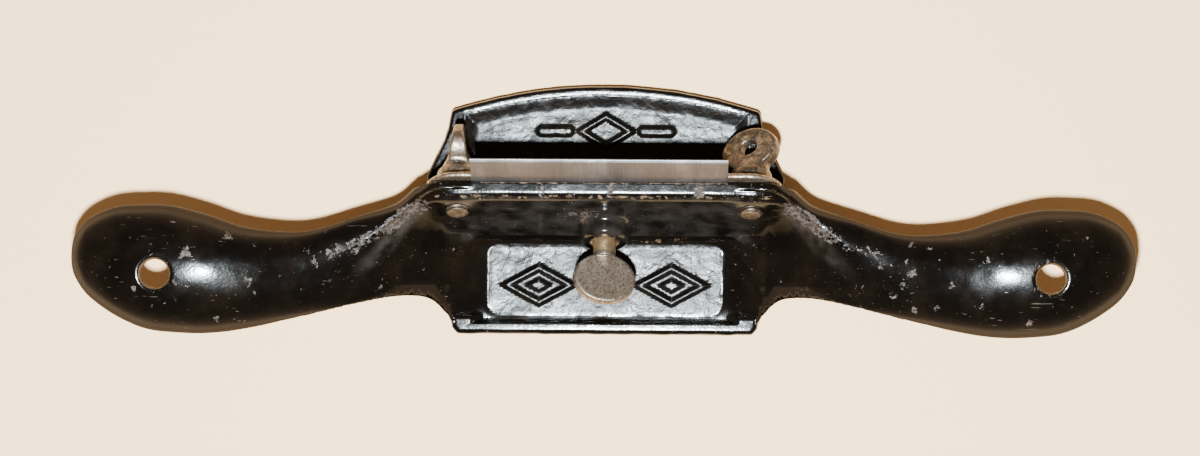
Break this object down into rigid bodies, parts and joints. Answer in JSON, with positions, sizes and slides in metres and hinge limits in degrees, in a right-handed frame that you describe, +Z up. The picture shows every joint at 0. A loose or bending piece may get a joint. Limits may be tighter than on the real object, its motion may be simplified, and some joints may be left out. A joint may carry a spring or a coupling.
{
  "type": "cabinet scraper",
  "caption": "Cast-iron cabinet scraper with raised winged handles, its leaning blade held by a clamp bar and thumb screws and bowed by a third screw.",
  "frame": {"origin": "middle of the sole's underside, at the centre of the whole tool's footprint", "axes": "+X along the handles, +Y towards the toe, +Z up, away from the sole"},
  "size_m": [0.292, 0.0696, 0.0386],
  "materials": {
    "japanned_iron": "glossy black japanning, chipped and rubbed to dull metal along the edges",
    "blade_steel": "ground and lapped steel with fine scratches",
    "bar_steel": "plain steel with a brown patina",
    "screw_steel": "forged steel with a mottled grey-brown patina and worn plating"
  },
  "bodies": {
    "casting": {"body_casting": "japanned_iron"},
    "blade": {"scraper_blade": "blade_steel"},
    "bar": {"clamp_bar": "bar_steel"},
    "left_screw": {"clamp_screw_left": "screw_steel"},
    "right_screw": {"clamp_screw_right": "screw_steel"},
    "middle_screw": {"bow_screw": "screw_steel"}
  },
  "joints": [
    {"name": "blade_slide", "type": "slide", "parent": "casting", "child": "blade", "axis": [0, 0.4226, 0.9063], "range_m": [0, 0.026]},
    {"name": "clamp_bar_slide", "type": "slide", "parent": "casting", "child": "bar", "axis": [0, 0.9063, -0.4226], "range_m": [0, 0.00191]},
    {"name": "clamp_screw_left_turn", "type": "hinge", "parent": "bar", "child": "left_screw", "pos_m": [-0.0404, 0.00647, 0.0191], "axis": [0, 0.9063, -0.4226], "range_deg": [0, 540]},
    {"name": "clamp_screw_right_turn", "type": "hinge", "parent": "bar", "child": "right_screw", "pos_m": [0.0404, 0.00647, 0.0191], "axis": [0, 0.9063, -0.4226], "range_deg": [0, 540]},
    {"name": "bow_screw_turn", "type": "hinge", "parent": "casting", "child": "middle_screw", "pos_m": [0, -0.00064, 0.0099], "axis": [0, -0.9063, 0.4226], "range_deg": [-180, 720]}
  ],
  "couplings": [
    {"joint": "clamp_screw_left_turn", "follows": "clamp_bar_slide", "rad_per_m": 4947.4},
    {"joint": "clamp_screw_right_turn", "follows": "clamp_bar_slide", "rad_per_m": 4947.4}
  ]
}
